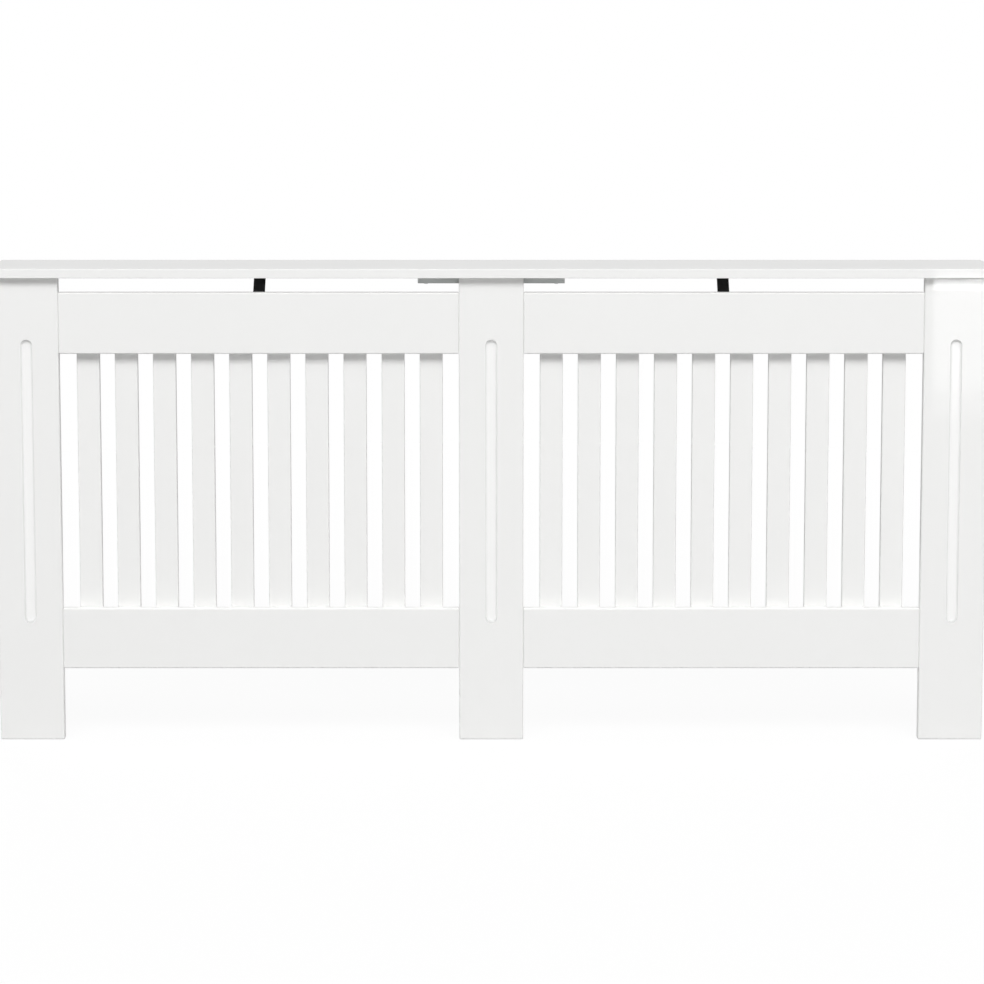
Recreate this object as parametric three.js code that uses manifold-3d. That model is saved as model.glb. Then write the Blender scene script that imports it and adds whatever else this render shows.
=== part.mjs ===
// Radiator cover cabinet: a long, shallow cabinet of white lacquered board that stands over a
// radiator. Two bays of upright slats run between three grooved posts, with a rail above and
// below each bay, a side panel at each end and a top made of two halves over the whole length.
// Millimetres. +Z is up, the front faces -Y, and the origin is on the floor below the middle.
import * as THREE from "three";
import { mergeVertices } from "three/addons/utils/BufferGeometryUtils.js";
import Module from "manifold-3d";

const wasm = await Module();
wasm.setup();

// ---------------------------------------------------------------- driving dimensions

// The cabinet as a whole
const LENGTH = 1720; // top, from end to end
const DEPTH = 190; // top, from front to back
const HEIGHT = 815; // floor to the upper face of the top
const FRONT_OVERHANG = 12; // top past the faces of the posts
const SIDE_OVERHANG = 15; // top past the side panels

// The boards
const BOARD = 16; // thickness of the top, posts, rails and side panels
const EDGE_RADIUS = 2.5; // rounding of the edges of the posts, rails and side panels
const TOP_EDGE_RADIUS = 1;
const CORNER_EASE = 1; // what a board's corners add to its edge radius, seen face on
const POST_WIDTH = 110;
const RAIL_HEIGHT = 105;
const FLOOR_GAP = 125; // floor to the underside of the lower rail
const TOP_GAP = 25; // upper edge of the upper rail to the underside of the top

// The slats, fixed to the backs of the rails
const SLATS_PER_BAY = 10;
const SLAT_WIDTH = 39;
const SLAT_THICKNESS = 12;
const SLAT_EDGE_RADIUS = 2; // its two front edges
const SLAT_LAP = 40; // overlap of a slat on each rail
const BAY_END_EXTRA = 2; // what the gap beside a post adds to the gap between two slats

// The groove down the face of each post
const GROOVE_WIDTH = 21;
const GROOVE_DEPTH = 5;
const GROOVE_ROUNDING = 4; // where its walls meet its floor
const GROOVE_FOOT = 204; // floor to the lower end of the groove
const GROOVE_HEAD = 105; // upper end of the groove to the upper end of the post

// The joint plate that holds the two halves of the top together from below
const PLATE_LENGTH = 250;
const PLATE_DEPTH = 120;
const PLATE_THICKNESS = 11;
const PLATE_EDGE_RADIUS = 1;
const PLATE_SCREW_INSET = 14; // from a screw to the two nearest edges of the plate

// The screws of the joint plate
const SCREW_HEAD = 8.5;
const SCREW_HEAD_HEIGHT = 2.2;
const SCREW_CROWN = 5; // diameter of the flat in the middle of its head
const SCREW_RIM = 0.7; // height of the head's straight side
const SCREW_SHANK = 4;
const SCREW_POINT = 3; // length of its tapered end
const SCREW_BITE = 10; // how far it runs into the top

// The cams and bolts that draw the rails to the posts
const CAM_DIAMETER = 15;
const CAM_HEIGHT = 12.5;
const CAM_SETBACK = 34; // end of the rail to the axis of the cam
const CAM_EDGE = 32; // outer long edge of the rail to the axis of the cam
const CAM_CROSS_LENGTH = 9;
const CAM_CROSS_WIDTH = 1.8;
const CAM_CROSS_DEPTH = 2;
const BOLT_THREAD = 5;
const BOLT_BITE = 11; // length of its thread, in the post
const BOLT_SHANK = 6;
const BOLT_NECK = 4;
const BOLT_HEAD = 7;
const BOLT_NECK_LENGTH = 7;
const BOLT_HEAD_LENGTH = 6; // half of it before the axis of the cam, half behind

// The strip steel that ties the upper rails to the top at the middle of each bay
const TIE_WIDTH = 20;
const TIE_THICKNESS = 2.5;
const TIE_FOOT = 35; // flange on the back of the rail
const TIE_RUN = 22; // how far it leans back between the rail and the top
const TIE_HEAD = 25; // flange under the top
const TIE_DROP = 2; // from the upper edge of the rail to the lower bend
const TIE_HOLE_EDGE = 12; // from the end of a flange to its hole

// The angle brackets and the corner brackets
const BRACKET_THICKNESS = 2;
const BRACKET_HOLE = 4.5;
const ANGLE_LEG = 40;
const ANGLE_WIDTH = 18;
const ANGLE_HOLE_FIRST = 14; // from the bend to the nearer hole
const ANGLE_HOLE_PITCH = 17; // from that hole to the other
const ANGLE_HEIGHT = 70; // floor to the middle of the lower angle bracket
const ANGLE_BACKSET = 30; // back edge of the top to the middle of the rear angle bracket
const CORNER_LEG = 44;
const CORNER_HOLE = 26; // from the bends to the hole in each flange

const CLEARANCE = 0.3; // round a fitted piece, and at the bottom of its bore
const OVERRUN = 5; // how far a drill starts outside the face that it opens
const ROUND_SIDES = 12; // sides of a drilled hole or a turned piece
const ARC_STEPS = 2; // facets across a rounded edge
const CORNER_STEPS = 1; // pairs of facets round a board's corner
const GROOVE_END_STEPS = 3; // pairs of facets round an end of a groove
const MERGE_DISTANCE = 1e-4; // points closer than this are one

// ---------------------------------------------------------------- what follows from them

const underTop = HEIGHT - BOARD;
const back = DEPTH / 2;
const faceY = FRONT_OVERHANG - DEPTH / 2;
const behindPosts = faceY + BOARD;
const bodyEnd = LENGTH / 2 - SIDE_OVERHANG;
const panelInside = bodyEnd - BOARD;
const bayStart = POST_WIDTH / 2;
const bayEnd = bodyEnd - POST_WIDTH;
const bayWidth = bayEnd - bayStart;
const bayMiddle = (bayStart + bayEnd) / 2;
const lowerRailTop = FLOOR_GAP + RAIL_HEIGHT;
const upperRailTop = underTop - TOP_GAP;
const upperRailBottom = upperRailTop - RAIL_HEIGHT;
const slatRoom = bayWidth - SLATS_PER_BAY * SLAT_WIDTH - 2 * BAY_END_EXTRA;
const slatGap = slatRoom / (SLATS_PER_BAY + 1);
const slatFoot = lowerRailTop - SLAT_LAP;
const slatHead = upperRailBottom + SLAT_LAP;
const lowerCamHeight = FLOOR_GAP + CAM_EDGE;
const upperCamHeight = upperRailTop - CAM_EDGE;
const boardMiddle = BOARD / 2;
const plateMiddle = behindPosts + PLATE_DEPTH / 2;
const plateScrewX = PLATE_LENGTH / 2 - PLATE_SCREW_INSET;
const plateScrewReach = PLATE_DEPTH / 2 - PLATE_SCREW_INSET;
const boltReach = CAM_SETBACK + BOLT_HEAD_LENGTH / 2;
const boltHeadStart = boltReach - BOLT_HEAD_LENGTH;
const boltNeckStart = boltHeadStart - BOLT_NECK_LENGTH;

// ---------------------------------------------------------------- materials

function finish(color, roughness, metalness) {
  return new THREE.MeshStandardMaterial({ color, roughness, metalness });
}

const whiteLacquer = finish(0xf2f2f0, 0.18, 0);
const blackSteel = finish(0x1e1e1e, 0.45, 0.6);
const zincSteel = finish(0xb9bcc0, 0.35, 1);

// ---------------------------------------------------------------- shaping

// Turns a board's own axes: its face is drawn in X and Y, and Z runs through its thickness.
const FACING_FRONT = new THREE.Euler(Math.PI / 2, 0, 0);
const FACING_SIDE = new THREE.Euler(Math.PI / 2, 0, Math.PI / 2, "ZYX");

function solidOf(geometry) {
  const bare = geometry.clone();
  bare.deleteAttribute("normal");
  bare.deleteAttribute("uv");
  const merged = mergeVertices(bare, MERGE_DISTANCE);
  return new wasm.Manifold(
    new wasm.Mesh({
      numProp: 3,
      vertProperties: merged.attributes.position.array,
      triVerts: new Uint32Array(merged.index.array),
    }),
  );
}

function geometryOf(solid) {
  const { vertProperties, triVerts } = solid.getMesh();
  const shared = new THREE.BufferGeometry();
  shared.setAttribute("position", new THREE.BufferAttribute(vertProperties, 3));
  shared.setIndex(new THREE.BufferAttribute(triVerts, 1));
  const faceted = shared.toNonIndexed();
  faceted.computeVertexNormals();
  return faceted;
}

function join(...geometries) {
  return geometryOf(geometries.map(solidOf).reduce((sum, next) => sum.add(next)));
}

function cut(geometry, cutters) {
  const rest = cutters.map(solidOf).reduce((left, tool) => left.subtract(tool), solidOf(geometry));
  return geometryOf(rest);
}

function keepWithin(geometry, region) {
  return geometryOf(solidOf(geometry).intersect(solidOf(region)));
}

// A rectangle with rounded corners, from (0, 0) to (width, height).
function roundedRectangle(width, height, radius) {
  const shape = new THREE.Shape();
  shape.absarc(width - radius, radius, radius, -Math.PI / 2, 0);
  shape.absarc(width - radius, height - radius, radius, 0, Math.PI / 2);
  shape.absarc(radius, height - radius, radius, Math.PI / 2, Math.PI);
  shape.absarc(radius, radius, radius, Math.PI, (Math.PI * 3) / 2);
  return shape;
}

// An upright slot with half-round ends, centred on the Y axis, from y = 0 to y = length.
function slotShape(width, length) {
  const radius = width / 2;
  const shape = new THREE.Shape();
  shape.absarc(0, radius, radius, Math.PI, Math.PI * 2);
  shape.absarc(0, length - radius, radius, 0, Math.PI);
  return shape;
}

// A slab of the given thickness from z = 0 up, with both its faces' edges rounded.
function slab(shape, thickness, edge, curveSegments) {
  const geometry = new THREE.ExtrudeGeometry(shape, {
    depth: thickness - 2 * edge,
    bevelThickness: edge,
    bevelSize: edge,
    bevelOffset: -edge,
    bevelSegments: ARC_STEPS,
    curveSegments,
  });
  return geometry.translate(0, 0, edge);
}

function roundedBoard(width, height, thickness = BOARD, edge = EDGE_RADIUS) {
  const outline = roundedRectangle(width, height, edge + CORNER_EASE);
  return slab(outline, thickness, edge, CORNER_STEPS);
}

// A box from one corner to the opposite one.
function box(from, to) {
  const low = new THREE.Vector3(...from);
  const size = new THREE.Vector3(...to).sub(low);
  const geometry = new THREE.BoxGeometry(...size);
  return geometry.translate(...low.addScaledVector(size, 1 / 2));
}

const ALONG = {
  x: (geometry) => geometry.rotateZ(-Math.PI / 2),
  y: (geometry) => geometry,
  z: (geometry) => geometry.rotateX(Math.PI / 2),
};

// A round rod that starts at the origin and runs along one axis, towards its positive end.
function rod(diameter, length, axis) {
  const geometry = new THREE.CylinderGeometry(diameter / 2, diameter / 2, length, ROUND_SIDES);
  return ALONG[axis](geometry.translate(0, length / 2, 0));
}

// A drill that goes right through a sheet lying from the origin to its thickness.
function drill(diameter, sheet, axis) {
  const length = sheet + 2 * OVERRUN;
  const geometry = new THREE.CylinderGeometry(diameter / 2, diameter / 2, length, ROUND_SIDES);
  return ALONG[axis](geometry.translate(0, sheet / 2, 0));
}

// A turned piece: [diameter, distance along the axis] from one end to the other.
function turned(steps, axis) {
  const points = steps.map(([diameter, at]) => new THREE.Vector2(diameter / 2, at));
  return ALONG[axis](new THREE.LatheGeometry(points, ROUND_SIDES));
}

// The outline of a bent strip: its outer line, and the same line set back by the thickness.
function stripShape(outer, thickness) {
  const inner = outer.map((point, i) => {
    const before = outer[i - 1] ?? point;
    const after = outer[i + 1] ?? point;
    const first = point.clone().sub(before).normalize();
    const second = after.clone().sub(point).normalize();
    const along = first.clone().add(second).normalize();
    const straight = first.lengthSq() > 0 ? first : second;
    const setBack = thickness / along.dot(straight);
    return new THREE.Vector2(along.y, -along.x).multiplyScalar(setBack).add(point);
  });
  return new THREE.Shape([...outer, ...inner.reverse()]);
}

// ---------------------------------------------------------------- assembly

function piece(name, geometry, material, position = [0, 0, 0], rotation) {
  const mesh = new THREE.Mesh(geometry, material.clone());
  mesh.name = name;
  mesh.position.set(...position);
  if (rotation) mesh.rotation.copy(rotation);
  return mesh;
}

// ---------------------------------------------------------------- top

const plateScrewPlaces = [-plateScrewReach, plateScrewReach].map((y) => plateMiddle + y);

function topHalfGeometry() {
  const whole = roundedBoard(LENGTH, DEPTH, BOARD, TOP_EDGE_RADIUS);
  whole.translate(-LENGTH / 2, -DEPTH / 2, 0);
  const half = keepWithin(whole, box([0, -DEPTH, -BOARD], [LENGTH, DEPTH, HEIGHT]));
  const pilots = plateScrewPlaces.map((y) => {
    const pilot = rod(SCREW_SHANK + 2 * CLEARANCE, OVERRUN + SCREW_BITE + CLEARANCE, "z");
    return pilot.translate(plateScrewX, y, -OVERRUN);
  });
  return cut(half, pilots);
}

function jointPlateGeometry() {
  const plate = roundedBoard(PLATE_LENGTH, PLATE_DEPTH, PLATE_THICKNESS, PLATE_EDGE_RADIUS);
  plate.translate(-PLATE_LENGTH / 2, behindPosts, 0);
  const holes = [-plateScrewX, plateScrewX].flatMap((x) =>
    plateScrewPlaces.map((y) =>
      drill(SCREW_SHANK + 2 * CLEARANCE, PLATE_THICKNESS, "z").translate(x, y, 0),
    ),
  );
  return cut(plate, holes);
}

// The upper face of its head is at z = 0 and its point is up.
function plateScrewGeometry() {
  const length = PLATE_THICKNESS + SCREW_BITE;
  return turned(
    [
      [0, -SCREW_HEAD_HEIGHT],
      [SCREW_CROWN, -SCREW_HEAD_HEIGHT],
      [SCREW_HEAD, -SCREW_RIM],
      [SCREW_HEAD, 0],
      [SCREW_SHANK, 0],
      [SCREW_SHANK, length - SCREW_POINT],
      [0, length],
    ],
    "z",
  );
}

// ---------------------------------------------------------------- posts and rails

// A bore for a bolt in the edge of a post, at the height z. It opens towards -X or +X.
function boltBore(edgeX, z, inwards) {
  const length = BOLT_BITE + CLEARANCE;
  const bore = rod(BOLT_THREAD + 2 * CLEARANCE, length + OVERRUN, "x");
  const start = inwards > 0 ? edgeX - OVERRUN : edgeX - length;
  return bore.translate(start, z, boardMiddle);
}

function postGeometry(boltedEdges) {
  const post = roundedBoard(POST_WIDTH, underTop).translate(-POST_WIDTH / 2, 0, 0);
  const grooveLength = underTop - GROOVE_HEAD - GROOVE_FOOT;
  const groove = slab(
    slotShape(GROOVE_WIDTH, grooveLength),
    BOARD,
    GROOVE_ROUNDING,
    GROOVE_END_STEPS,
  ).translate(0, GROOVE_FOOT, BOARD - GROOVE_DEPTH);
  const bores = boltedEdges.flatMap((side) =>
    [lowerCamHeight, upperCamHeight].map((z) => boltBore((side * POST_WIDTH) / 2, z, -side)),
  );
  return cut(post, [groove, ...bores]);
}

// camHeight is measured from the lower edge of the rail.
function railGeometry(camHeight) {
  const rail = roundedBoard(bayWidth, RAIL_HEIGHT);
  const pocketDepth = CAM_HEIGHT + CLEARANCE;
  const tools = [0, bayWidth].flatMap((end) => {
    const inwards = end === 0 ? 1 : -1;
    const pocket = rod(CAM_DIAMETER + 2 * CLEARANCE, pocketDepth + OVERRUN, "z");
    const bore = rod(BOLT_HEAD + 2 * CLEARANCE, CAM_SETBACK + OVERRUN, "x");
    const boreStart = inwards > 0 ? -OVERRUN : end - CAM_SETBACK;
    return [
      pocket.translate(end + inwards * CAM_SETBACK, camHeight, -OVERRUN),
      bore.translate(boreStart, camHeight, boardMiddle),
    ];
  });
  return cut(rail, tools);
}

// ---------------------------------------------------------------- cams and bolts

// Its outer face is at y = 0, and the bolt comes in along X from the negative side.
function camGeometry() {
  const body = rod(CAM_DIAMETER, CAM_HEIGHT, "y").translate(0, -CAM_HEIGHT, 0);
  const headEnd = BOLT_HEAD_LENGTH / 2 + CLEARANCE;
  const channel = rod(BOLT_HEAD + 2 * CLEARANCE, CAM_DIAMETER + headEnd, "x");
  const arm = [CAM_CROSS_LENGTH / 2, CAM_CROSS_DEPTH, CAM_CROSS_WIDTH / 2];
  const cross = box(arm.map((size) => -size), arm);
  return cut(body, [
    channel.translate(-CAM_DIAMETER, -boardMiddle, 0),
    cross,
    cross.clone().rotateY(Math.PI / 2),
  ]);
}

// Its thread is at x < 0, in the post, and its head at the axis of the cam.
function boltGeometry() {
  return turned(
    [
      [0, -BOLT_BITE],
      [BOLT_THREAD, -BOLT_BITE],
      [BOLT_THREAD, 0],
      [BOLT_SHANK, 0],
      [BOLT_SHANK, boltNeckStart],
      [BOLT_NECK, boltNeckStart],
      [BOLT_NECK, boltHeadStart],
      [BOLT_HEAD, boltHeadStart],
      [BOLT_HEAD, boltReach],
      [0, boltReach],
    ],
    "x",
  );
}

// One rail-to-post joint. Its origin is on the edge of the post, and +X runs into the rail.
function camJoint(name, x, z, intoRail) {
  const joint = new THREE.Group();
  joint.position.set(x, faceY + boardMiddle, z);
  if (intoRail < 0) joint.rotation.y = Math.PI;
  joint.add(piece("cam_" + name, camGeometry(), zincSteel, [CAM_SETBACK, boardMiddle, 0]));
  joint.add(piece("cam_bolt_" + name, boltGeometry(), zincSteel));
  return joint;
}

// ---------------------------------------------------------------- slats

// Drawn from above: the front corners are rounded, the back is at y = SLAT_THICKNESS.
function slatGeometry() {
  const section = new THREE.Shape();
  const radius = SLAT_EDGE_RADIUS;
  section.absarc(radius, radius, radius, Math.PI, (Math.PI * 3) / 2);
  section.absarc(SLAT_WIDTH - radius, radius, radius, -Math.PI / 2, 0);
  section.lineTo(SLAT_WIDTH, SLAT_THICKNESS);
  section.lineTo(0, SLAT_THICKNESS);
  return new THREE.ExtrudeGeometry(section, {
    depth: slatHead - slatFoot,
    bevelEnabled: false,
    curveSegments: CORNER_STEPS,
  });
}

// ---------------------------------------------------------------- brackets

// Drawn in the plane of Y and Z and extruded along X: up the back of the rail, then leaning
// back to the underside of the top, then flat under it.
function tieGeometry() {
  const bend = upperRailTop - TIE_DROP;
  const outer = [
    new THREE.Vector2(behindPosts, bend - TIE_FOOT),
    new THREE.Vector2(behindPosts, bend),
    new THREE.Vector2(behindPosts + TIE_RUN, underTop),
    new THREE.Vector2(behindPosts + TIE_RUN + TIE_HEAD, underTop),
  ];
  const strip = new THREE.ExtrudeGeometry(stripShape(outer, TIE_THICKNESS), {
    depth: TIE_WIDTH,
    bevelEnabled: false,
  });
  const footHole = drill(BRACKET_HOLE, TIE_THICKNESS, "x");
  footHole.translate(behindPosts, bend - TIE_FOOT + TIE_HOLE_EDGE, TIE_WIDTH / 2);
  const headHole = drill(BRACKET_HOLE, TIE_THICKNESS, "y");
  const headHoleAt = behindPosts + TIE_RUN + TIE_HEAD - TIE_HOLE_EDGE;
  headHole.translate(headHoleAt, underTop - TIE_THICKNESS, TIE_WIDTH / 2);
  return cut(strip, [footHole, headHole]).translate(0, 0, -TIE_WIDTH / 2);
}

// Legs along +X and +Y from the bend, with their outer faces on the axes.
function angleGeometry() {
  const outer = [
    new THREE.Vector2(0, ANGLE_LEG),
    new THREE.Vector2(0, 0),
    new THREE.Vector2(ANGLE_LEG, 0),
  ].reverse();
  const strip = new THREE.ExtrudeGeometry(stripShape(outer, BRACKET_THICKNESS), {
    depth: ANGLE_WIDTH,
    bevelEnabled: false,
  });
  const holes = [ANGLE_HOLE_FIRST, ANGLE_HOLE_FIRST + ANGLE_HOLE_PITCH].flatMap((at) => [
    drill(BRACKET_HOLE, BRACKET_THICKNESS, "y").translate(at, 0, ANGLE_WIDTH / 2),
    drill(BRACKET_HOLE, BRACKET_THICKNESS, "x").translate(0, at, ANGLE_WIDTH / 2),
  ]);
  return cut(strip, holes).translate(0, 0, -ANGLE_WIDTH / 2);
}

// Three flanges that meet in a corner, each flat against one board, with a hole in each.
function cornerGeometry() {
  const leg = CORNER_LEG;
  const sheet = BRACKET_THICKNESS;
  const body = join(
    box([-leg, 0, -leg], [0, sheet, 0]),
    box([-sheet, 0, -leg], [0, leg, 0]),
    box([-leg, 0, -sheet], [0, leg, 0]),
  );
  const at = CORNER_HOLE;
  return cut(body, [
    drill(BRACKET_HOLE, sheet, "y").translate(-at, 0, -at),
    drill(BRACKET_HOLE, sheet, "x").translate(-sheet, at, -at),
    drill(BRACKET_HOLE, sheet, "z").translate(-at, at, -sheet),
  ]);
}

const ANGLE_UPRIGHT = new THREE.Euler(0, 0, Math.PI / 2);
const ANGLE_UNDER_TOP = new THREE.Euler(-Math.PI / 2, 0, Math.PI, "ZYX");
const STRIP_ACROSS = new THREE.Euler(Math.PI / 2, 0, Math.PI / 2, "ZYX");

// ---------------------------------------------------------------- one half of the cabinet

// Everything on one side of the centre post, drawn for +X and mirrored for the left side.
function cabinetHalf(label, side) {
  const half = new THREE.Group();
  half.scale.x = side;
  const name = (stem) => stem + "_" + label;

  half.add(piece(name("top_board"), topHalfGeometry(), whiteLacquer, [0, 0, underTop]));
  const postMiddle = bayEnd + POST_WIDTH / 2;
  const endPost = [postMiddle, behindPosts, 0];
  half.add(piece(name("post"), postGeometry([-1]), whiteLacquer, endPost, FACING_FRONT));
  const panel = roundedBoard(back - behindPosts, underTop);
  const panelPlace = [panelInside, behindPosts, 0];
  half.add(piece(name("side_panel"), panel, whiteLacquer, panelPlace, FACING_SIDE));

  const rails = [
    { stem: "lower", foot: FLOOR_GAP, camHeight: lowerCamHeight },
    { stem: "upper", foot: upperRailBottom, camHeight: upperCamHeight },
  ];
  for (const { stem, foot, camHeight } of rails) {
    const rail = railGeometry(camHeight - foot);
    const place = [bayStart, behindPosts, foot];
    half.add(piece(name(stem + "_rail"), rail, whiteLacquer, place, FACING_FRONT));
    half.add(camJoint(name(stem + "_inner"), bayStart, camHeight, 1));
    half.add(camJoint(name(stem + "_outer"), bayEnd, camHeight, -1));
  }

  for (let i = 0; i < SLATS_PER_BAY; i++) {
    const x = bayStart + BAY_END_EXTRA + slatGap + i * (SLAT_WIDTH + slatGap);
    const number = String(i + 1).padStart(2, "0");
    const place = [x, behindPosts, slatFoot];
    half.add(piece(name("slat") + "_" + number, slatGeometry(), whiteLacquer, place));
  }

  plateScrewPlaces.forEach((y, i) => {
    const place = [plateScrewX, y, underTop - PLATE_THICKNESS];
    const end = i === 0 ? "front" : "rear";
    half.add(piece(name("plate_screw_" + end), plateScrewGeometry(), zincSteel, place));
  });

  const tie = tieGeometry();
  half.add(piece(name("rail_tie"), tie, blackSteel, [bayMiddle, 0, 0], STRIP_ACROSS));
  const corner = [panelInside, behindPosts, underTop];
  half.add(piece(name("corner_bracket"), cornerGeometry(), zincSteel, corner));
  const low = [panelInside, behindPosts, ANGLE_HEIGHT];
  half.add(piece(name("lower_angle"), angleGeometry(), zincSteel, low, ANGLE_UPRIGHT));
  const rear = [panelInside, back - ANGLE_BACKSET, underTop];
  half.add(piece(name("rear_angle"), angleGeometry(), zincSteel, rear, ANGLE_UNDER_TOP));
  return half;
}

// ---------------------------------------------------------------- the cabinet

const cabinet = new THREE.Group();
const centrePost = postGeometry([-1, 1]);
cabinet.add(piece("post_centre", centrePost, whiteLacquer, [0, behindPosts, 0], FACING_FRONT));
const plateHeight = underTop - PLATE_THICKNESS;
cabinet.add(piece("joint_plate", jointPlateGeometry(), whiteLacquer, [0, 0, plateHeight]));
cabinet.add(cabinetHalf("right", 1), cabinetHalf("left", -1));

export default cabinet;
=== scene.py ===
"""The finished look of a white lacquered radiator cover cabinet, standing on a pale floor.

Every board is rebuilt over its CAD node with properly rounded edges, the posts get their moulded
grooves, and the back gets its cams, brackets and screws. Metres, +Z up, the front faces -Y.
"""

import math

import bmesh
import bpy
from mathutils import Matrix, Vector


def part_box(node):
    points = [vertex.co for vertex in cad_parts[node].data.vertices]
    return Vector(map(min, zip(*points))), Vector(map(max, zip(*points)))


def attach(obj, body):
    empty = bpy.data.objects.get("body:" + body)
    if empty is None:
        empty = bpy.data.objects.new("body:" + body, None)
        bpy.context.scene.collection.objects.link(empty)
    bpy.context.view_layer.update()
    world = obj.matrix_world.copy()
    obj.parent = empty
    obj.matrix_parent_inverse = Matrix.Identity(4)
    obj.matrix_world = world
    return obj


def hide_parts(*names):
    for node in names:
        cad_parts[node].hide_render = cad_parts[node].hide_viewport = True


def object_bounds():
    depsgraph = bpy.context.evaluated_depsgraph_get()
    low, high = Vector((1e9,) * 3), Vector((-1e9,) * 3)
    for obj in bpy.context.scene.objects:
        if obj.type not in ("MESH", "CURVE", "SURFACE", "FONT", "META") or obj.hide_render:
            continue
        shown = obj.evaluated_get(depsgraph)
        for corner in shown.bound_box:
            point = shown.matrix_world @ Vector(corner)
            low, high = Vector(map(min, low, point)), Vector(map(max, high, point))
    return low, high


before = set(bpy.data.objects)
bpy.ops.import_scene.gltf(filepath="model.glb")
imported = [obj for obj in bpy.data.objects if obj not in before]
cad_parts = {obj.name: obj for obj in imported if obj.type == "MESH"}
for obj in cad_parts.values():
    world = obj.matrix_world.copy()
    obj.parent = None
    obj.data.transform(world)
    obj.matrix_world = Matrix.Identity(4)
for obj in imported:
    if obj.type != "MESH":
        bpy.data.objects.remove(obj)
CAD_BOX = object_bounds()

MM = 0.001
SIDES = ("left", "right")
UP, DOWN, BACK = Vector((0, 0, 1)), Vector((0, 0, -1)), Vector((0, 1, 0))
TOUCHING = 0.1 * MM  # points closer to a plane than this lie in it
FLAT_FACE_COSINE = 0.999

# ------------------------------------------------------------------ sizes that only show here

EDGE_RADIUS = 2.5 * MM
SLAT_EDGE_RADIUS = 2 * MM
TOP_EDGE_RADIUS = 1 * MM
PLATE_EDGE_RADIUS = 1 * MM
EDGE_STEPS = 5
ROUND_PROFILE = 0.5
SMOOTH_ANGLE = math.radians(40)  # faces that turn less than this are shaded as one surface
FLAT_FACE_WEIGHT = 80  # how strongly the larger faces keep their own shading

GROOVE_WIDTH = 21 * MM
GROOVE_DEPTH = 5 * MM
GROOVE_LIP_RADIUS = 0.6 * MM
GROOVE_FLOOR_RADIUS = 4 * MM
GROOVE_WALL_TILT = math.radians(71)  # from the face of the post
GROOVE_FOOT = 204 * MM  # above the foot of the post
GROOVE_HEAD = 105 * MM  # below the head of the post
GROOVE_STEPS = 6
GROOVE_END_STEPS = 24

CAM_RADIUS = 7.5 * MM
CAM_CLEARANCE = 0.3 * MM
CAM_CROSS_LENGTH = 9 * MM
CAM_CROSS_WIDTH = 1.8 * MM
CAM_CROSS_DEPTH = 2 * MM
CAM_RIM = 0.4 * MM
CAM_RIM_STEPS = 2
CAM_SIDES = 48
CROSS_TAPER = 0.75  # what is left of a cross recess's size at its bottom

TIE_THICKNESS = 2.5 * MM
TIE_FOOT = 35 * MM  # along the rail
TIE_RUN = 22 * MM  # from the rail back to the leg under the top
TIE_HEAD = 25 * MM  # along the top
TIE_DROP = 2 * MM  # from the top of the rail down to the bend
TIE_HOLE_EDGE = 12 * MM
TIE_BEND_RADIUS = 4 * MM
BEND_STEPS = 6

BRACKET_THICKNESS = 2 * MM
BRACKET_HOLE_RADIUS = 2.25 * MM
BRACKET_EDGE = 0.4 * MM
BRACKET_EDGE_STEPS = 2
WORN_EDGE_ANGLE = math.radians(50)  # edges with a sharper turn than this are worn
WELD_REACH = 0.001 * MM  # points of a CAD mesh closer together than this are one
ANGLE_BEND_RADIUS = 3 * MM
ANGLE_HOLES = (14 * MM, 31 * MM)  # from the corner along each leg
CORNER_HOLE = 26 * MM  # from the corner along both edges of each plate

SCREW_SIDES = 32
SCREW_CROWN_STEPS = 5
SCREW_RIM_SHARE = 0.25  # of the height of the head; the rest is its crown
SCREW_POINT_SHARE = 0.2  # of the length
SCREW_CROSS = (1.15, 0.26)  # length and width, in radii of the head
SCREW_CROSS_DEPTH = 0.6  # in heights of the head
SCREW_TURN = math.radians(37)  # from one screw of a piece to the next
# Screws are (head radius, head height, shank radius, length under the head).
SLAT_SCREW = (3.4 * MM, 0.9 * MM, 1.6 * MM, 22 * MM)
BRACKET_SCREW = (4 * MM, 2.1 * MM, 2 * MM, 14 * MM)
PLATE_SCREW_SHANK = 2 * MM
SLAT_SCREW_EDGE = 20 * MM  # from the end of a slat to its screw

# ------------------------------------------------------------------ camera and light

PHOTO_SIDE = 984  # pixels
CAMERA_DISTANCE = 4.6  # from the front edge of the top
CAMERA_HEIGHT = 1.206
CAMERA_PITCH = math.radians(5.924)
CAMERA_LENS, CAMERA_SENSOR = 100.0, 36.0
CAMERA_SHIFT_X = 0.77 / PHOTO_SIDE
CAMERA_SHIFT_Y = -0.175

WHITE = (1, 1, 1, 1)
AMBIENT = 0.14
FLOOR_BOUNCE = (0.48, 0.48, 0.48)
FLOOR_SEEN = (0.95, 0.95, 0.95)
FLOOR_ROUGHNESS = 0.6
FLOOR_HALF_SIZE = 40
FADE_RANGE = (1.2, 3.4)  # the floor fades into the white between these distances
FADE_NEAR = 0.93  # the share of white before the first, where the shadow still shows
STUDIO_RADIUS = 20.0  # softboxes stand this far from the middle of the cabinet
KEY_ELEVATION = 44  # degrees; azimuths count from the front towards the right
KEY_HALF_WIDTH, KEY_HALF_HEIGHT = 15, 11
KEY_PANELS = ((-45, 3.2), (-15, 4.5), (15, 4.5), (45, 3.7))  # azimuth and radiance
BACK_AZIMUTH, BACK_ELEVATION = 180, 30
BACK_HALF_WIDTH, BACK_HALF_HEIGHT = 22, 14
BACK_RADIANCE = 2.0
GLARE_CORNER = Vector((1.323, -3.6, 0.0))  # on the floor below the left edges of the glare boxes
GLARE_WIDTH = 0.3
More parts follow.
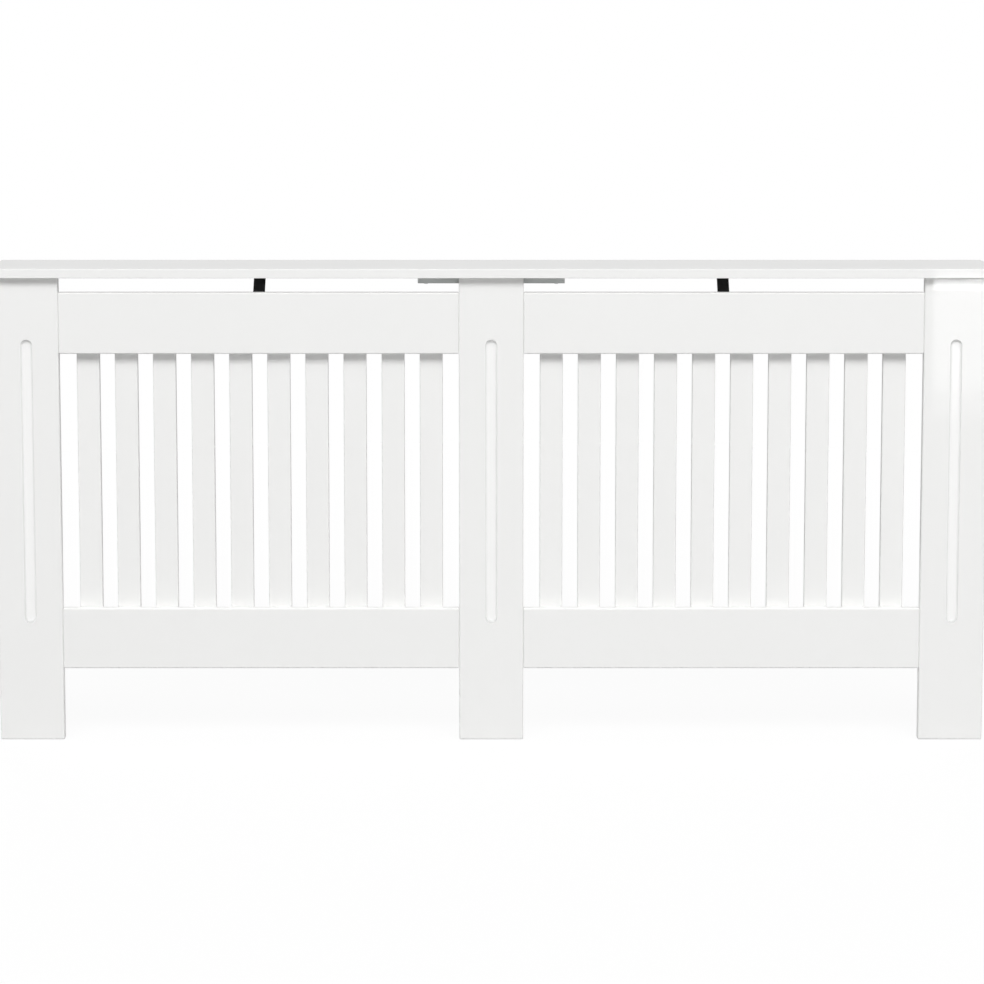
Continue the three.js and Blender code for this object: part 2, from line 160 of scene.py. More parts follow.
# Each glare box is (foot, head, radiance): the right post mirrors them, one above the other.
GLARE_BOXES = ((0.07, 0.15, 3.0), (0.15, 0.455, 6.7), (0.455, 0.487, 32.0), (0.487, 0.6, 6.7))
CARD_GREY = 0.35  # what the top mirrors of the room behind it
CARD_DISTANCE = 1.5  # behind the cabinet
CARD_SIZE = (14.0, 5.0)


# ------------------------------------------------------------------ node helpers


def add_node(tree, kind, **settings):
    """Adds a shader node; settings are its properties, or its inputs by name with _ for a space."""
    node = tree.nodes.new(kind)
    for key, value in settings.items():
        if hasattr(node, key):
            setattr(node, key, value)
        else:
            node.inputs[key.replace("_", " ")].default_value = value
    return node


def new_material(name):
    material = bpy.data.materials.new(name)
    material.use_nodes = True
    tree = material.node_tree
    return material, tree, tree.nodes["Principled BSDF"]


def set_inputs(shader, **values):
    for key, value in values.items():
        shader.inputs[key.replace("_", " ")].default_value = value


def object_noise(tree, waves, detail=2.0, roughness=0.5):
    """Noise that is fixed to the object, with so many waves to the metre."""
    coordinates = add_node(tree, "ShaderNodeTexCoord")
    noise = add_node(tree, "ShaderNodeTexNoise", Scale=waves, Detail=detail, Roughness=roughness)
    tree.links.new(coordinates.outputs["Object"], noise.inputs["Vector"])
    return noise.outputs["Fac"]


def remap(tree, value, low, high):
    node = add_node(tree, "ShaderNodeMapRange", To_Min=low, To_Max=high)
    tree.links.new(value, node.inputs["Value"])
    return node.outputs["Result"]


def blend_colours(tree, value, first, second):
    node = add_node(tree, "ShaderNodeMix", data_type="RGBA")
    colours = [socket for socket in node.inputs if socket.type == "RGBA"]
    for socket, colour in zip(colours, (first, second)):
        socket.default_value = (*colour, 1)
    tree.links.new(value, node.inputs["Factor"])
    return next(socket for socket in node.outputs if socket.type == "RGBA")


def bump(tree, height, strength, distance):
    node = add_node(tree, "ShaderNodeBump", Strength=strength, Distance=distance)
    tree.links.new(height, node.inputs["Height"])
    return node.outputs["Normal"]


# ------------------------------------------------------------------ materials


def white_lacquer(name, tones, gloss, painted_shade_facing_up=1.0):
    """Sprayed gloss lacquer with a faint orange peel; faces that look up may get painted shade."""
    material, tree, shader = new_material(name)
    set_inputs(shader, IOR=1.5, Specular_IOR_Level=0.25)
    set_inputs(shader, Coat_Weight=0.3, Coat_Roughness=0.03, Coat_IOR=1.5)
    drift = object_noise(tree, waves=2.3, detail=1.0)
    thick = blend_colours(tree, drift, *tones)
    normal = add_node(tree, "ShaderNodeSeparateXYZ")
    tree.links.new(add_node(tree, "ShaderNodeNewGeometry").outputs["Normal"], normal.inputs[0])
    # Painted shade: the colour darkens as the face turns up, down to the given share where it looks
    # straight up.
    shade = remap(tree, normal.outputs["Z"], low=1.0, high=painted_shade_facing_up)
    colour = add_node(tree, "ShaderNodeVectorMath", operation="SCALE")
    tree.links.new(thick, colour.inputs[0])
    tree.links.new(shade, colour.inputs["Scale"])
    tree.links.new(colour.outputs[0], shader.inputs["Base Color"])
    cloud = object_noise(tree, waves=9.0, detail=3.0)
    tree.links.new(remap(tree, cloud, *gloss), shader.inputs["Roughness"])
    peel = object_noise(tree, waves=240.0, detail=1.5)
    relief = bump(tree, peel, strength=0.03, distance=0.1 * MM)
    tree.links.new(relief, shader.inputs["Coat Normal"])
    return material


def matt_grey():
    """Matt mid grey with a fine tooth, darker than the white boards."""
    material, tree, shader = new_material("matt_grey")
    set_inputs(shader, IOR=1.45)
    patches = object_noise(tree, waves=14.0, detail=3.0)
    colour = blend_colours(tree, patches, (0.555, 0.575, 0.57), (0.61, 0.63, 0.625))
    tree.links.new(colour, shader.inputs["Base Color"])
    tooth = object_noise(tree, waves=1100.0, detail=3.0)
    tree.links.new(remap(tree, tooth, low=0.55, high=0.72), shader.inputs["Roughness"])
    relief = bump(tree, tooth, strength=0.2, distance=0.12 * MM)
    tree.links.new(relief, shader.inputs["Normal"])
    return material


def back_lacquer():
    """One thin coat on the faces that look at the wall: satin, with the board's fibres showing."""
    material, tree, shader = new_material("thin_white_back_coat")
    set_inputs(shader, IOR=1.5)
    patches = object_noise(tree, waves=5.0, detail=4.0, roughness=0.6)
    colour = blend_colours(tree, patches, (0.800, 0.798, 0.780), (0.838, 0.836, 0.822))
    tree.links.new(colour, shader.inputs["Base Color"])
    fibre = object_noise(tree, waves=900.0, detail=4.0, roughness=0.65)
    tree.links.new(remap(tree, fibre, low=0.42, high=0.60), shader.inputs["Roughness"])
    relief = bump(tree, fibre, strength=0.25, distance=0.15 * MM)
    tree.links.new(relief, shader.inputs["Normal"])
    return material


def zinc_steel():
    """Bright zinc plating: soft spangle in the colour and fine handling marks in the gloss."""
    material, tree, shader = new_material("bright_zinc_steel")
    set_inputs(shader, Metallic=1.0)
    spangle = object_noise(tree, waves=160.0, detail=3.0)
    colour = blend_colours(tree, spangle, (0.52, 0.53, 0.55), (0.68, 0.69, 0.70))
    tree.links.new(colour, shader.inputs["Base Color"])
    marks = object_noise(tree, waves=700.0, detail=4.0, roughness=0.7)
    tree.links.new(remap(tree, marks, low=0.22, high=0.42), shader.inputs["Roughness"])
    relief = bump(tree, marks, strength=0.08, distance=0.1 * MM)
    tree.links.new(relief, shader.inputs["Normal"])
    return material


def black_steel():
    """Powder-coated strip steel: satin black with a fine grain."""
    material, tree, shader = new_material("black_coated_steel")
    set_inputs(shader, IOR=1.5, Specular_IOR_Level=0.15)
    tone = object_noise(tree, waves=60.0, detail=2.0)
    colour = blend_colours(tree, tone, (0.018, 0.018, 0.018), (0.023, 0.023, 0.024))
    tree.links.new(colour, shader.inputs["Base Color"])
    grain = object_noise(tree, waves=1500.0, detail=2.0)
    tree.links.new(remap(tree, grain, low=0.52, high=0.66), shader.inputs["Roughness"])
    relief = bump(tree, grain, strength=0.2, distance=0.08 * MM)
    tree.links.new(relief, shader.inputs["Normal"])
    return material


FACE_TONES = ((0.862, 0.862, 0.852), (0.868, 0.868, 0.860))
FACE_GLOSS = (0.40, 0.48)
# Painted shade on the upper rails' faces that look up, under the overhanging top.
LEDGE_SHADE = 0.82
GROOVE_TONES = ((0.895, 0.895, 0.887), (0.907, 0.907, 0.902))
GROOVE_GLOSS = (0.28, 0.36)
# Painted shade on the groove walls that look up, which darkens the foot of the groove.
GROOVE_SHADE = 0.60
LACQUER = white_lacquer("gloss_white_lacquer", FACE_TONES, FACE_GLOSS)
LEDGE_LACQUER = white_lacquer(
    "gloss_white_lacquer_painted_shade_on_top", FACE_TONES, FACE_GLOSS, LEDGE_SHADE
)
GROOVE_COAT = white_lacquer("white_groove_lacquer", GROOVE_TONES, GROOVE_GLOSS, GROOVE_SHADE)
BACK_COAT = back_lacquer()
MATT_GREY = matt_grey()
ZINC = zinc_steel()
BLACK = black_steel()


# ------------------------------------------------------------------ mesh helpers


def place_object(name, bm, *materials):
    """Turns a mesh in the making into an object, with its faces outwards."""
    bm.normal_update()
    bmesh.ops.recalc_face_normals(bm, faces=bm.faces)
    mesh = bpy.data.meshes.new(name)
    bm.to_mesh(mesh)
    bm.free()
    made = bpy.data.objects.new(name, mesh)
    bpy.context.scene.collection.objects.link(made)
    for material in materials:
        mesh.materials.append(material)
    return made


def carve(target, *cutters):
    """Cuts the cutters out of the target for good, and deletes them."""
    for cutter in cutters:
        modifier = target.modifiers.new("carve", "BOOLEAN")
        modifier.operation = "DIFFERENCE"
        modifier.solver = "EXACT"
        modifier.material_mode = "TRANSFER"
        modifier.object = cutter
    shaped = target.evaluated_get(bpy.context.evaluated_depsgraph_get())
    mesh = bpy.data.meshes.new_from_object(shaped)
    target.modifiers.clear()
    target.data = mesh
    for cutter in cutters:
        bpy.data.objects.remove(cutter)


def soften(piece):
    """Smooth shading over the roundings, with the flat faces kept flat."""
    piece.data.set_sharp_from_angle(angle=SMOOTH_ANGLE)
    for polygon in piece.data.polygons:
        polygon.use_smooth = True
    modifier = piece.modifiers.new("flat_faces", "WEIGHTED_NORMAL")
    modifier.keep_sharp = True
    modifier.weight = FLAT_FACE_WEIGHT


def hand_over(piece, *nodes):
    """Makes a finished piece part of the cabinet, in place of its CAD nodes."""
    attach(piece, "root")
    if nodes:
        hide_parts(*nodes)


def facing(direction):
    """The turn that brings +Z to a direction."""
    return UP.rotation_difference(direction).to_matrix().to_4x4()


def box_mesh(low, high):
    bm = bmesh.new()
    bmesh.ops.create_cube(bm, size=1)
    middle, size = (low + high) / 2, high - low
    for vert in bm.verts:
        vert.co = Vector(c * s for c, s in zip(vert.co, size)) + middle
    return bm


def join_rings(bm, upper, lower):
    """A wall of faces between two rings of as many points; a ring may be one point repeated."""
    for i in range(len(upper)):
        j = (i + 1) % len(upper)
        bm.faces.new(tuple(dict.fromkeys((upper[i], upper[j], lower[j], lower[i]))))


def round_edges(bm, edges, radius, steps=EDGE_STEPS):
    bm.normal_update()
    bmesh.ops.bevel(
        bm, geom=edges, offset=radius, segments=steps, profile=ROUND_PROFILE, affect="EDGES"
    )


def rod_mesh(start, direction, radius, length, sides=SCREW_SIDES):
    """A closed round rod from start along direction."""
    bm = bmesh.new()
    bmesh.ops.create_cone(
        bm, cap_ends=True, segments=sides, radius1=radius, radius2=radius, depth=length
    )
    lift = Matrix.Translation((0, 0, length / 2))
    bm.transform(Matrix.Translation(start) @ facing(direction) @ lift)
    return bm


def rod_cutter(start, direction, radius, length):
    return place_object("cutter", rod_mesh(start, direction, radius, length))


# ------------------------------------------------------------------ boards


def coat_back_faces(board, direction):
    """Gives the flat faces that look in one direction the thin back coat."""
    board.data.materials.append(BACK_COAT)
    for polygon in board.data.polygons:
        if polygon.normal.dot(direction) > FLAT_FACE_COSINE:
            polygon.material_index = len(board.data.materials) - 1


def make_board(
    node, back=None, radius=EDGE_RADIUS, finish=LACQUER, sharp_at_middle=False, cutters=()
):
    """A board over its CAD node, with rounded edges, cut-outs and a thin coat on one face.

    A board that is sharp at the middle keeps the edges of its end at x = 0 sharp.
    """
    bm = box_mesh(*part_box(node))
    edges = [
        edge
        for edge in bm.edges
        if not (sharp_at_middle and all(abs(vert.co.x) < TOUCHING for vert in edge.verts))
    ]
    round_edges(bm, edges, radius)
    board = place_object(node + "_board", bm, finish)
    if cutters:
        carve(board, *cutters)
    if back:
        coat_back_faces(board, back)
    soften(board)
    hand_over(board, node)


# ------------------------------------------------------------------ posts and their grooves


def groove_levels():
    """(depth below the face, how far the outline is drawn in) from above the face to the floor."""
    lip, floor, tilt = GROOVE_LIP_RADIUS, GROOVE_FLOOR_RADIUS, GROOVE_WALL_TILT
    arc = [tilt * i / GROOVE_STEPS for i in range(GROOVE_STEPS + 1)]
    straight = GROOVE_DEPTH - (lip + floor) * (1 - math.cos(tilt))
    reach = (lip + floor) * math.sin(tilt) + straight / math.tan(tilt)
    levels = [(-GROOVE_DEPTH, 0)]
    levels += [(lip * (1 - math.cos(a)), lip * math.sin(a)) for a in arc]
    levels += [
        (GROOVE_DEPTH - floor * (1 - math.cos(a)), reach - floor * math.sin(a))
        for a in reversed(arc)
    ]
    return levels


def groove_cutter(middle_x, face_y, foot, head):
    """A slot with half-round ends, a rounded lip and walls that curve into its floor."""
    bm = bmesh.new()
    rings = []
    for depth, drawn_in in groove_levels():
        radius = GROOVE_WIDTH / 2 - drawn_in
        ring = []
        for centre, start in ((head - GROOVE_WIDTH / 2, 0), (foot + GROOVE_WIDTH / 2, math.pi)):
            for i in range(GROOVE_END_STEPS + 1):
                a = start + math.pi * i / GROOVE_END_STEPS
                x, z = middle_x + radius * math.cos(a), centre + radius * math.sin(a)
                ring.append(bm.verts.new((x, face_y + depth, z)))
        rings.append(ring)
    for upper, lower in zip(rings, rings[1:]):
        join_rings(bm, upper, lower)
    bm.faces.new(rings[0])
    bm.faces.new(rings[-1])
    # The groove's faces take the groove lacquer: tones brighter than the face, and painted shade on
    # its walls that look up.
    return place_object("cutter", bm, GROOVE_COAT)


def make_posts():
    """Each post with a groove down the middle of its face."""
    for node in ("post_left", "post_centre", "post_right"):
        low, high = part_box(node)
        groove = groove_cutter(
            (low.x + high.x) / 2, low.y, low.z + GROOVE_FOOT, high.z - GROOVE_HEAD
        )
        make_board(node, back=BACK, cutters=(groove,))


# ------------------------------------------------------------------ rails and cams


def cam_places(rail):
    """(node, middle of its outer face, height) of the two cams in a rail."""
    stem, side = rail.split("_rail_")
    for end in ("inner", "outer"):
        node = f"cam_{stem}_{end}_{side}"
        low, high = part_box(node)
        bolt_low, bolt_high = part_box(node.replace("cam_", "cam_bolt_"))
        right_of_bolt = low.x + high.x > bolt_low.x + bolt_high.x
        axis_x = high.x - CAM_RADIUS if right_of_bolt else low.x + CAM_RADIUS
        yield node, Vector((axis_x, high.y, (low.z + high.z) / 2)), high.y - low.y


def make_rails():
    """Each rail with its two pockets, open at the back, and a cam in each."""
    for side in SIDES:
        for stem in ("lower", "upper"):
            rail = f"{stem}_rail_{side}"
            pockets = [
                rod_cutter(
                    face - BACK * (height + CAM_CLEARANCE),
                    BACK,
                    CAM_RADIUS + CAM_CLEARANCE,
                    height * 2,
                )
                for _, face, height in cam_places(rail)
            ]
            # The upper rails get painted shade on their faces that look up, under the top.
            finish = LEDGE_LACQUER if stem == "upper" else LACQUER
            make_board(rail, back=BACK, finish=finish, cutters=pockets)
            for node, face, height in cam_places(rail):
                make_cam(node, face, height)


def cross_cutter(face, direction, length, width, depth):
    """A cross recess, narrower at the bottom, sunk into a face that looks in one direction."""
    a, b = length / 2, width / 2
    quarter = [Vector((a, -b)), Vector((a, b)), Vector((b, b))]
    outline = []
    for quarters in range(4):
        outline += [Matrix.Rotation(math.pi / 2 * quarters, 2) @ point for point in quarter]
    bm = bmesh.new()
    rings = []
    for z, share in ((depth, 1), (0, 1), (-depth, CROSS_TAPER)):
        rings.append([bm.verts.new((*(point * share), z)) for point in outline])
    for upper, lower in zip(rings, rings[1:]):
        join_rings(bm, upper, lower)
    bm.faces.new(rings[0])
    bm.faces.new(rings[-1])
    bm.transform(Matrix.Translation(face) @ facing(direction))
    return place_object("cutter", bm)


def make_cam(node, face, height):
    """A disc flush with the back of its rail, with a rounded rim and a cross recess."""
    bm = rod_mesh(face - BACK * height, BACK, CAM_RADIUS, height, CAM_SIDES)
    rim = [
        edge for edge in bm.edges if all(abs(vert.co.y - face.y) < TOUCHING for vert in edge.verts)
    ]
    round_edges(bm, rim, CAM_RIM, CAM_RIM_STEPS)
    cam = place_object(node + "_disc", bm, ZINC)
    carve(cam, cross_cutter(face, BACK, CAM_CROSS_LENGTH, CAM_CROSS_WIDTH, CAM_CROSS_DEPTH))
    soften(cam)
    hand_over(cam, node)


# ------------------------------------------------------------------ screws


def screw_profile(head_radius, head_height, shank_radius, length):
    """(radius, height) down a screw, from the middle of its head to its point."""
    profile = [(0, head_height)]
    for i in range(1, SCREW_CROWN_STEPS + 1):
        a = math.pi / 2 * i / SCREW_CROWN_STEPS
        rise = SCREW_RIM_SHARE + (1 - SCREW_RIM_SHARE) * math.cos(a)
        profile.append((head_radius * math.sin(a), head_height * rise))
    profile += [(head_radius, 0), (shank_radius, 0)]
    profile += [(shank_radius, -length * (1 - SCREW_POINT_SHARE)), (0, -length)]
    return profile


def screw_mesh(head_radius, head_height, shank_radius, length):
    """One cross-head screw: the underside of its head is at z = 0 and its point at -length."""
    bm = bmesh.new()
    spokes = [2 * math.pi * i / SCREW_SIDES for i in range(SCREW_SIDES)]
    rings = []
    for radius, z in screw_profile(head_radius, head_height, shank_radius, length):
        if radius == 0:
            rings.append([bm.verts.new((0, 0, z))] * SCREW_SIDES)
        else:
            points = [(radius * math.cos(a), radius * math.sin(a), z) for a in spokes]
            rings.append([bm.verts.new(point) for point in points])
    for upper, lower in zip(rings, rings[1:]):
        join_rings(bm, upper, lower)
    screw = place_object("screw", bm)
    cross_length, cross_width = (share * head_radius for share in SCREW_CROSS)
    depth = head_height * SCREW_CROSS_DEPTH
    carve(screw, cross_cutter(UP * head_height, UP, cross_length, cross_width, depth))
    mesh = screw.data
    bpy.data.objects.remove(screw)
    return mesh


def drive_screws(name, pattern, places, nodes=()):
    """Joins copies of one screw into a piece: places are (seat, outward direction, turn)."""
    bm = bmesh.new()
    for seat, outwards, turn in places:
        one = bmesh.new()
        one.from_mesh(pattern)
        spin = Matrix.Rotation(turn, 4, "Z")
        one.transform(Matrix.Translation(seat) @ facing(outwards) @ spin)
        mesh = bpy.data.meshes.new("one")
        one.to_mesh(mesh)
        one.free()
        bm.from_mesh(mesh)
        bpy.data.meshes.remove(mesh)
    piece = place_object(name, bm, ZINC)
    soften(piece)
    hand_over(piece, *nodes)


# ------------------------------------------------------------------ slats


def make_slats():
    """Each slat with its two screws, one into each rail."""
    pattern = screw_mesh(*SLAT_SCREW)
    for side in SIDES:
        names = [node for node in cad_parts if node.startswith(f"slat_{side}_")]
        places = []
        for node in sorted(names):
            make_board(node, back=BACK, radius=SLAT_EDGE_RADIUS)
            low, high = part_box(node)
            for z in (low.z + SLAT_SCREW_EDGE, high.z - SLAT_SCREW_EDGE):
                seat = Vector(((low.x + high.x) / 2, high.y, z))
                places.append((seat, BACK, SCREW_TURN * len(places)))
        drive_screws(f"slat_screws_{side}", pattern, places)


# ------------------------------------------------------------------ brackets


def right_of(direction):
    """The direction a quarter turn clockwise from a direction in the plane."""
    return Vector((direction.y, -direction.x))


def strip_outline(points, thickness, bend_radius):
    """A bent strip's outline in a plane: a line through points, and one to the right of it.

    Each bend is rounded, with bend_radius on its outer side.
    """
    line, beside = [], []
    directions = [(b - a).normalized() for a, b in zip(points, points[1:])]
    for i, point in enumerate(points):
        if i in (0, len(points) - 1):
            line.append(point)
            along = directions[0 if i == 0 else -1]
            beside.append(point + right_of(along) * thickness)
            continue
        first, second = directions[i - 1], directions[i]
        bend = first.angle_signed(second)
        side = 1 if bend > 0 else -1
        radius = bend_radius if side > 0 else bend_radius - thickness
        start = point - first * radius * math.tan(abs(bend) / 2)
        centre = start + right_of(first) * radius * side
        for k in range(BEND_STEPS + 1):
            spoke = Matrix.Rotation(-bend * k / BEND_STEPS, 2) @ (start - centre)
            line.append(centre + spoke)
            beside.append(centre + spoke * (1 - side * thickness / radius))
    return line + beside[::-1]


def wear_edges(piece):
    """Rounds the sharper edges of a pressed piece a little."""
    edge = piece.modifiers.new("worn_edges", "BEVEL")
    edge.width = BRACKET_EDGE
    edge.segments = BRACKET_EDGE_STEPS
    edge.limit_method = "ANGLE"
    edge.angle_limit = WORN_EDGE_ANGLE


def strip_piece(name, outline, to_world, width, holes, material):
    """Extrudes an outline by width, drills it and rounds its edges a little."""
    bm = bmesh.new()
    front = [bm.verts.new(to_world(point, 0)) for point in outline]
    rear = [bm.verts.new(to_world(point, width)) for point in outline]
    bm.faces.new(front)
    bm.faces.new(rear)
    join_rings(bm, front, rear)
    piece = place_object(name, bm, material)
    carve(piece, *holes)
    wear_edges(piece)
    return piece


def make_ties(pattern):
    """Black strips, bent from the back of each upper rail to the underside of the top."""
    for side in SIDES:
        node = f"rail_tie_{side}"
        low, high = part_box(node)
        rail_back = low.y
        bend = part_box(f"upper_rail_{side}")[1].z - TIE_DROP
        outer = [
            Vector((rail_back, bend - TIE_FOOT)),
            Vector((rail_back, bend)),
            Vector((rail_back + TIE_RUN, high.z)),
            Vector((rail_back + TIE_RUN + TIE_HEAD, high.z)),
        ]
        middle = (low.x + high.x) / 2
        foot_hole = Vector((middle, rail_back, bend - TIE_FOOT + TIE_HOLE_EDGE))
        head_hole = Vector((middle, rail_back + TIE_RUN + TIE_HEAD - TIE_HOLE_EDGE, high.z))
        seats = [(foot_hole, BACK), (head_hole, DOWN)]
        tie = strip_piece(
            node + "_strip",
            strip_outline(outer, TIE_THICKNESS, TIE_BEND_RADIUS),
            lambda point, across: Vector((low.x + across, point.x, point.y)),
            high.x - low.x,
            bracket_holes(seats, TIE_THICKNESS),
            BLACK,
        )
        soften(tie)
        hand_over(tie, node)
        places = screw_places(seats, TIE_THICKNESS)
        drive_screws(f"rail_tie_screws_{side}", pattern, places)


def bracket_holes(seats, thickness):
    """Drills for a strip of some thickness, each from before its seat to past the strip."""
    return [
        rod_cutter(seat - outwards * thickness, outwards, BRACKET_HOLE_RADIUS, thickness * 3)
        for seat, outwards in seats
    ]


def screw_places(seats, thickness):
    return [
        (seat + outwards * thickness, outwards, SCREW_TURN * (i + 1))
        for i, (seat, outwards) in enumerate(seats)
    ]


def make_angle(name, pattern, corner, first_leg, second_leg):
    """An angle bracket from its CAD node: legs run from the corner along two directions."""
    low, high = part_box(name)
    across = first_leg.cross(second_leg)
    width = abs((high - low).dot(across))
    leg = abs((high - low).dot(first_leg))
    outer = [Vector((leg, 0)), Vector((0, 0)), Vector((0, leg))]
    seats = []
    for at in ANGLE_HOLES:
        seats.append((corner + first_leg * at, second_leg))
        seats.append((corner + second_leg * at, first_leg))
    edge = corner - across * width / 2
    angle = strip_piece(
        name + "_plate",
        strip_outline(outer, BRACKET_THICKNESS, ANGLE_BEND_RADIUS),
        lambda point, out: edge + first_leg * point.x + second_leg * point.y + across * out,
        width,
        bracket_holes(seats, BRACKET_THICKNESS),
        ZINC,
    )
    soften(angle)
    hand_over(angle, name)
    drive_screws(name + "_screws", pattern, screw_places(seats, BRACKET_THICKNESS))


def make_corner(name, pattern, inwards):
    """A three-way bracket in the shape of its CAD node, with worn edges and its screws."""
    bm = bmesh.new()
    bm.from_mesh(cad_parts[name].data)
    bmesh.ops.remove_doubles(bm, verts=bm.verts, dist=WELD_REACH)
    plate = place_object(name + "_plate", bm, ZINC)
    wear_edges(plate)
    hand_over(plate, name)
    low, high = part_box(name)
    corner = Vector((high.x if inwards < 0 else low.x, low.y, high.z))
    across = Vector((inwards, 0, 0))
    seats = [
        (corner + (across + DOWN) * CORNER_HOLE, BACK),
        (corner + (BACK + DOWN) * CORNER_HOLE, across),
        (corner + (across + BACK) * CORNER_HOLE, DOWN),
    ]
    drive_screws(name + "_screws", pattern, screw_places(seats, BRACKET_THICKNESS))


def make_brackets():
    pattern = screw_mesh(*BRACKET_SCREW)
    make_ties(pattern)
    for side, inwards in zip(SIDES, (1, -1)):
        towards_middle = Vector((inwards, 0, 0))
        low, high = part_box(f"lower_angle_{side}")
        panel_x = low.x if inwards > 0 else high.x
        corner = Vector((panel_x, low.y, (low.z + high.z) / 2))
        make_angle(f"lower_angle_{side}", pattern, corner, towards_middle, BACK)
        low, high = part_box(f"rear_angle_{side}")
        corner = Vector((panel_x, (low.y + high.y) / 2, high.z))
        make_angle(f"rear_angle_{side}", pattern, corner, towards_middle, DOWN)
        make_corner(f"corner_bracket_{side}", pattern, inwards)


# ------------------------------------------------------------------ side panels and top


def make_side_panels():
    """The boards at both ends, thinly coated inside."""
    for side, inwards in zip(SIDES, (1, -1)):
        make_board(f"side_panel_{side}", back=Vector((inwards, 0, 0)))


def make_top():
    """Both halves of the top, and the plate and screws that join them from below."""
    for side in SIDES:
        make_board(
            f"top_board_{side}", back=DOWN, radius=TOP_EDGE_RADIUS, sharp_at_middle=True
        )
    make_board("joint_plate", radius=PLATE_EDGE_RADIUS, finish=MATT_GREY)
    low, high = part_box("plate_screw_front_right")
    plate_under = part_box("joint_plate")[0].z
    head_height = plate_under - low.z
    head_radius, length = (high.x - low.x) / 2, high.z - plate_under
    pattern = screw_mesh(head_radius, head_height, PLATE_SCREW_SHANK, length)
    for end in ("front", "rear"):
        for side in SIDES:
            node = f"plate_screw_{end}_{side}"
            low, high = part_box(node)
            seat = Vector(((low.x + high.x) / 2, (low.y + high.y) / 2, plate_under))
            drive_screws(node + "_head", pattern, [(seat, DOWN, SCREW_TURN)], (node,))


# ------------------------------------------------------------------ studio


def background_ray(tree):
    """1 for a ray that shows the background: seen, mirrored or through glass."""
    path = add_node(tree, "ShaderNodeLightPath")
    seen = path.outputs["Is Camera Ray"]
    for kind in ("Is Glossy Ray", "Is Transmission Ray"):
        either = add_node(tree, "ShaderNodeMath", operation="MAXIMUM")
        tree.links.new(seen, either.inputs[0])
        tree.links.new(path.outputs[kind], either.inputs[1])
        seen = either.outputs[0]
    return seen


def make_floor():
    """A pale floor that turns into the white background away from the cabinet and its shadow."""
    material, tree, shader = new_material("studio_floor")
    set_inputs(shader, Roughness=FLOOR_ROUGHNESS)
    seen = background_ray(tree)
    colour = blend_colours(tree, seen, FLOOR_BOUNCE, FLOOR_SEEN)
    tree.links.new(colour, shader.inputs["Base Color"])
    coordinates = add_node(tree, "ShaderNodeTexCoord")
    distance = add_node(tree, "ShaderNodeVectorMath", operation="LENGTH")
    tree.links.new(coordinates.outputs["Object"], distance.inputs[0])
    fade = add_node(tree, "ShaderNodeMapRange", interpolation_type="SMOOTHSTEP")
    near, far = FADE_RANGE
    set_inputs(fade, From_Min=near, From_Max=far, To_Min=FADE_NEAR, To_Max=1.0)
    tree.links.new(distance.outputs["Value"], fade.inputs["Value"])
    share = add_node(tree, "ShaderNodeMath", operation="MULTIPLY")
    tree.links.new(seen, share.inputs[0])
    tree.links.new(fade.outputs["Result"], share.inputs[1])
    glow = add_node(tree, "ShaderNodeEmission", Color=WHITE, Strength=1.0)
    mix = add_node(tree, "ShaderNodeMixShader")
    tree.links.new(share.outputs[0], mix.inputs[0])
    tree.links.new(shader.outputs[0], mix.inputs[1])
    tree.links.new(glow.outputs[0], mix.inputs[2])
    tree.links.new(mix.outputs[0], tree.nodes["Material Output"].inputs["Surface"])
    bm = bmesh.new()
    bmesh.ops.create_grid(bm, x_segments=1, y_segments=1, size=FLOOR_HALF_SIZE)
    place_object("floor", bm, material)


def make_world():
    """A white background, and a faint even light on the object."""
    world = bpy.data.worlds.new("studio")
    bpy.context.scene.world = world
    world.use_nodes = True
    tree = world.node_tree
    tree.nodes.clear()
    glow = add_node(tree, "ShaderNodeBackground", Color=WHITE)
    strength = remap(tree, background_ray(tree), low=AMBIENT, high=1.0)
    tree.links.new(strength, glow.inputs["Strength"])
    out = add_node(tree, "ShaderNodeOutputWorld")
    tree.links.new(glow.outputs[0], out.inputs["Surface"])


def make_card():
    """A grey card behind the cabinet that only reflections show."""
    material, tree, shader = new_material("grey_card")
    glow = add_node(tree, "ShaderNodeEmission", Color=WHITE, Strength=CARD_GREY)
    tree.links.new(glow.outputs[0], tree.nodes["Material Output"].inputs["Surface"])
    width, height = CARD_SIZE
    y = CAD_BOX[1].y + CARD_DISTANCE
    bm = bmesh.new()
    corners = ((-1, 0), (1, 0), (1, 1), (-1, 1))
    bm.faces.new([bm.verts.new((a * width / 2, y, b * height)) for a, b in corners])
    card = place_object("grey_card", bm, material)
    card.visible_camera = card.visible_diffuse = False
    card.visible_shadow = card.visible_transmission = False


def add_softbox(name, place, target, size, radiance):
    """A rectangular lamp of an even radiance, aimed at a point."""
    data = bpy.data.lights.new(name, "AREA")
    data.shape = "RECTANGLE"
    data.size, data.size_y = size
    data.energy = radiance * size[0] * size[1] * math.pi
    lamp = bpy.data.objects.new(name, data)
    lamp.location = place
    lamp.rotation_mode = "QUATERNION"
    lamp.rotation_quaternion = (target - place).to_track_quat("-Z", "Y")
    lamp.visible_camera = False
    bpy.context.scene.collection.objects.link(lamp)


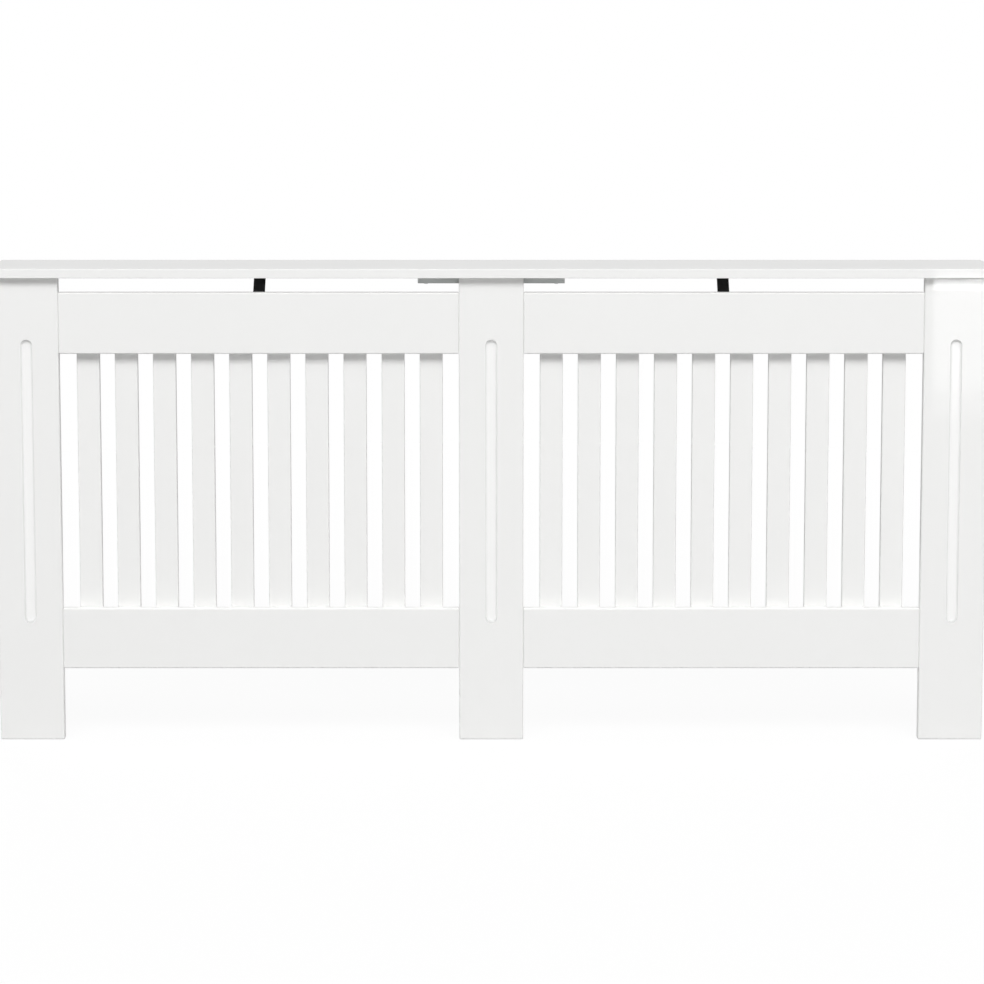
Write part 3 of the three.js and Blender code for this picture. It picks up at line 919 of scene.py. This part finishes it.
def add_studio_panel(name, azimuth, elevation, half_width, half_height, radiance):
    """A far softbox by its bearing and its half angles in degrees, seen from the cabinet."""
    middle = (CAD_BOX[0] + CAD_BOX[1]) / 2
    turn, lift = math.radians(azimuth), math.radians(elevation)
    level = Vector((math.sin(turn), -math.cos(turn), 0))
    bearing = level * math.cos(lift) + UP * math.sin(lift)
    halves = (math.tan(math.radians(half)) for half in (half_width, half_height))
    size = [2 * STUDIO_RADIUS * half for half in halves]
    add_softbox(name, middle + bearing * STUDIO_RADIUS, middle, size, radiance)


def make_lights():
    halves = (KEY_HALF_WIDTH, KEY_HALF_HEIGHT)
    for azimuth, radiance in KEY_PANELS:
        add_studio_panel(f"key_panel_{azimuth}", azimuth, KEY_ELEVATION, *halves, radiance)
    halves = (BACK_HALF_WIDTH, BACK_HALF_HEIGHT)
    add_studio_panel("back_panel", BACK_AZIMUTH, BACK_ELEVATION, *halves, BACK_RADIANCE)
    for i, (foot, head, radiance) in enumerate(GLARE_BOXES):
        place = GLARE_CORNER + Vector((GLARE_WIDTH / 2, 0, (foot + head) / 2))
        size = (GLARE_WIDTH, head - foot)
        add_softbox(f"glare_softbox_{i}", place, place + BACK, size, radiance)


def make_camera():
    data = bpy.data.cameras.new("camera")
    data.lens = CAMERA_LENS
    data.sensor_width = CAMERA_SENSOR
    data.shift_x, data.shift_y = CAMERA_SHIFT_X, CAMERA_SHIFT_Y
    camera = bpy.data.objects.new("camera", data)
    camera.location = (0, CAD_BOX[0].y - CAMERA_DISTANCE, CAMERA_HEIGHT)
    camera.rotation_euler = (math.pi / 2 - CAMERA_PITCH, 0, 0)
    bpy.context.scene.collection.objects.link(camera)
    bpy.context.scene.camera = camera


def dress_hidden_bolts():
    """The bolts of the cams, inside the boards, keep their CAD bodies."""
    for name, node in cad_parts.items():
        if name.startswith("cam_bolt_"):
            node.data.materials.clear()
            node.data.materials.append(ZINC)


make_camera()
make_posts()
make_rails()
make_slats()
make_side_panels()
make_top()
make_brackets()
dress_hidden_bolts()
make_floor()
make_card()
make_world()
make_lights()
bpy.context.scene.view_settings.view_transform = "Standard"
